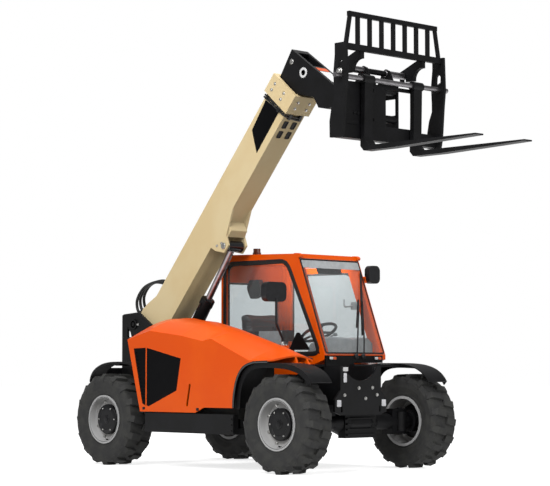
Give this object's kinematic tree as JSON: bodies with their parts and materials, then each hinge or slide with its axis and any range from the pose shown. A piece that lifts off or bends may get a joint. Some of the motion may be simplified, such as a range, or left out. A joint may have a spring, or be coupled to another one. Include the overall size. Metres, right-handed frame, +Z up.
{
  "type": "telehandler",
  "caption": "Compact telehandler with a side cab, a raised telescopic boom with a drop head, tilting pallet forks with a load backrest, and steered wheels.",
  "frame": {"origin": "on the floor under the middle of the overall box, forks included", "axes": "+X forward, +Y to the machine's left, +Z up"},
  "size_m": [4.6279, 1.913, 3.844],
  "materials": {
    "bar_steel": "satin",
    "beacon_amber": "gloss",
    "black_paint": "satin",
    "black_plastic": "matt",
    "cream_paint": "satin",
    "engine_iron": "matt",
    "hose_rubber": "matt",
    "hub_paint": "satin",
    "inner_boom_paint": "satin",
    "orange_paint": "gloss",
    "rim_paint": "satin",
    "rod_chrome": "polished",
    "seat_vinyl": "matt",
    "tyre_rubber": "matt",
    "window_glass": "clear"
  },
  "bodies": {
    "chassis": {"axle_front": "black_paint", "axle_rear": "black_paint", "beacon": "beacon_amber", "cab_frame": "orange_paint", "cab_glass": "window_glass", "cab_roof": "orange_paint", "console": "black_plastic", "counterweight": "black_paint", "engine_block": "engine_iron", "front_apron": "black_paint", "main_frame": "black_paint", "mirror_left": "black_plastic", "mudguards": "black_paint", "seat": "seat_vinyl", "sill_left": "black_paint", "sill_right": "black_paint", "steering_column": "black_paint"},
    "hood_lid": {"hood": "orange_paint", "hood_grille": "black_paint", "mirror_right": "black_plastic"},
    "door": {"cab_door": "orange_paint", "door_glass": "window_glass"},
    "boom_base": {"boom_hoses": "hose_rubber", "boom_outer": "cream_paint"},
    "boom_fly": {"boom_head": "black_paint", "boom_inner": "inner_boom_paint"},
    "cylinder": {"lift_barrel": "black_paint"},
    "cylinder_rod": {"lift_rod": "rod_chrome"},
    "carriage": {"coupler": "black_paint", "fork_bar": "bar_steel", "fork_frame": "black_paint", "fork_left": "black_paint", "fork_right": "black_paint", "load_backrest": "black_paint"},
    "steering_rod_front": {"steer_rod_front": "rod_chrome"},
    "steering_rod_rear": {"steer_rod_rear": "rod_chrome"},
    "wheel_front_left": {"tyre_front_left": "tyre_rubber", "rim_front_left": "rim_paint", "hub_front_left": "hub_paint"},
    "carrier_front_left": {"knuckle_front_left": "black_paint"},
    "wheel_front_right": {"tyre_front_right": "tyre_rubber", "rim_front_right": "rim_paint", "hub_front_right": "hub_paint"},
    "carrier_front_right": {"knuckle_front_right": "black_paint"},
    "wheel_rear_left": {"tyre_rear_left": "tyre_rubber", "rim_rear_left": "rim_paint", "hub_rear_left": "hub_paint"},
    "carrier_rear_left": {"knuckle_rear_left": "black_paint"},
    "wheel_rear_right": {"tyre_rear_right": "tyre_rubber", "rim_rear_right": "rim_paint", "hub_rear_right": "hub_paint"},
    "carrier_rear_right": {"knuckle_rear_right": "black_paint"}
  },
  "joints": [
    {"name": "steer_front_left", "type": "hinge", "parent": "chassis", "child": "carrier_front_left", "pos_m": [0.46, 0.61, 0.418], "axis": [0, 0, 1], "range_deg": [-30, 30]},
    {"name": "roll_front_left", "type": "hinge", "parent": "carrier_front_left", "child": "wheel_front_left", "pos_m": [0.46, 0.778, 0.418], "axis": [0, 1, 0], "continuous": true},
    {"name": "steer_front_right", "type": "hinge", "parent": "chassis", "child": "carrier_front_right", "pos_m": [0.46, -0.61, 0.418], "axis": [0, 0, 1], "range_deg": [-30, 30]},
    {"name": "roll_front_right", "type": "hinge", "parent": "carrier_front_right", "child": "wheel_front_right", "pos_m": [0.46, -0.778, 0.418], "axis": [0, 1, 0], "continuous": true},
    {"name": "steer_rear_left", "type": "hinge", "parent": "chassis", "child": "carrier_rear_left", "pos_m": [-1.83, 0.61, 0.418], "axis": [0, 0, 1], "range_deg": [-30, 30]},
    {"name": "roll_rear_left", "type": "hinge", "parent": "carrier_rear_left", "child": "wheel_rear_left", "pos_m": [-1.83, 0.778, 0.418], "axis": [0, 1, 0], "continuous": true},
    {"name": "steer_rear_right", "type": "hinge", "parent": "chassis", "child": "carrier_rear_right", "pos_m": [-1.83, -0.61, 0.418], "axis": [0, 0, 1], "range_deg": [-30, 30]},
    {"name": "roll_rear_right", "type": "hinge", "parent": "carrier_rear_right", "child": "wheel_rear_right", "pos_m": [-1.83, -0.778, 0.418], "axis": [0, 1, 0], "continuous": true},
    {"name": "steering_slide_front", "type": "slide", "parent": "chassis", "child": "steering_rod_front", "axis": [0, 1, 0], "range_m": [-0.09, 0.09]},
    {"name": "steering_slide_rear", "type": "slide", "parent": "chassis", "child": "steering_rod_rear", "axis": [0, 1, 0], "range_m": [-0.09, 0.09]},
    {"name": "boom_lift", "type": "hinge", "parent": "chassis", "child": "boom_base", "pos_m": [-2.095, -0.15, 1.303], "axis": [0, -1, 0], "range_deg": [-48, 12]},
    {"name": "boom_extend", "type": "slide", "parent": "boom_base", "child": "boom_fly", "axis": [0.6508, 0, 0.7593], "range_m": [0, 1.9]},
    {"name": "fork_tilt", "type": "hinge", "parent": "boom_fly", "child": "carriage", "pos_m": [0.6979, -0.15, 3.071], "axis": [0, 1, 0], "range_deg": [-60, 70]},
    {"name": "cylinder_pivot", "type": "hinge", "parent": "chassis", "child": "cylinder", "pos_m": [-1.755, -0.15, 0.8], "axis": [0, -1, 0], "range_deg": [-47.54, 12.26]},
    {"name": "cylinder_stroke", "type": "slide", "parent": "cylinder", "child": "cylinder_rod", "axis": [0.5811, 0, 0.8138], "range_m": [-0.4815, 0.1234]},
    {"name": "hood_open", "type": "hinge", "parent": "chassis", "child": "hood_lid", "pos_m": [0.38, -0.45, 0.9], "axis": [0, 1, 0], "range_deg": [0, 50]},
    {"name": "door_open", "type": "hinge", "parent": "chassis", "child": "door", "pos_m": [-1.181, 0.85, 1.18], "axis": [0, 0, 1], "range_deg": [0, 100]}
  ],
  "couplings": [
    {"joint": "steer_front_right", "follows": "steer_front_left", "ratio": 1},
    {"joint": "steer_rear_right", "follows": "steer_rear_left", "ratio": 1},
    {"joint": "steering_slide_front", "follows": "steer_front_left", "m_per_rad": -0.16},
    {"joint": "steering_slide_rear", "follows": "steer_rear_left", "m_per_rad": -0.16},
    {"joint": "cylinder_pivot", "follows": "boom_lift", "ratio": 0.98},
    {"joint": "cylinder_stroke", "follows": "boom_lift", "m_per_rad": 0.57}
  ]
}
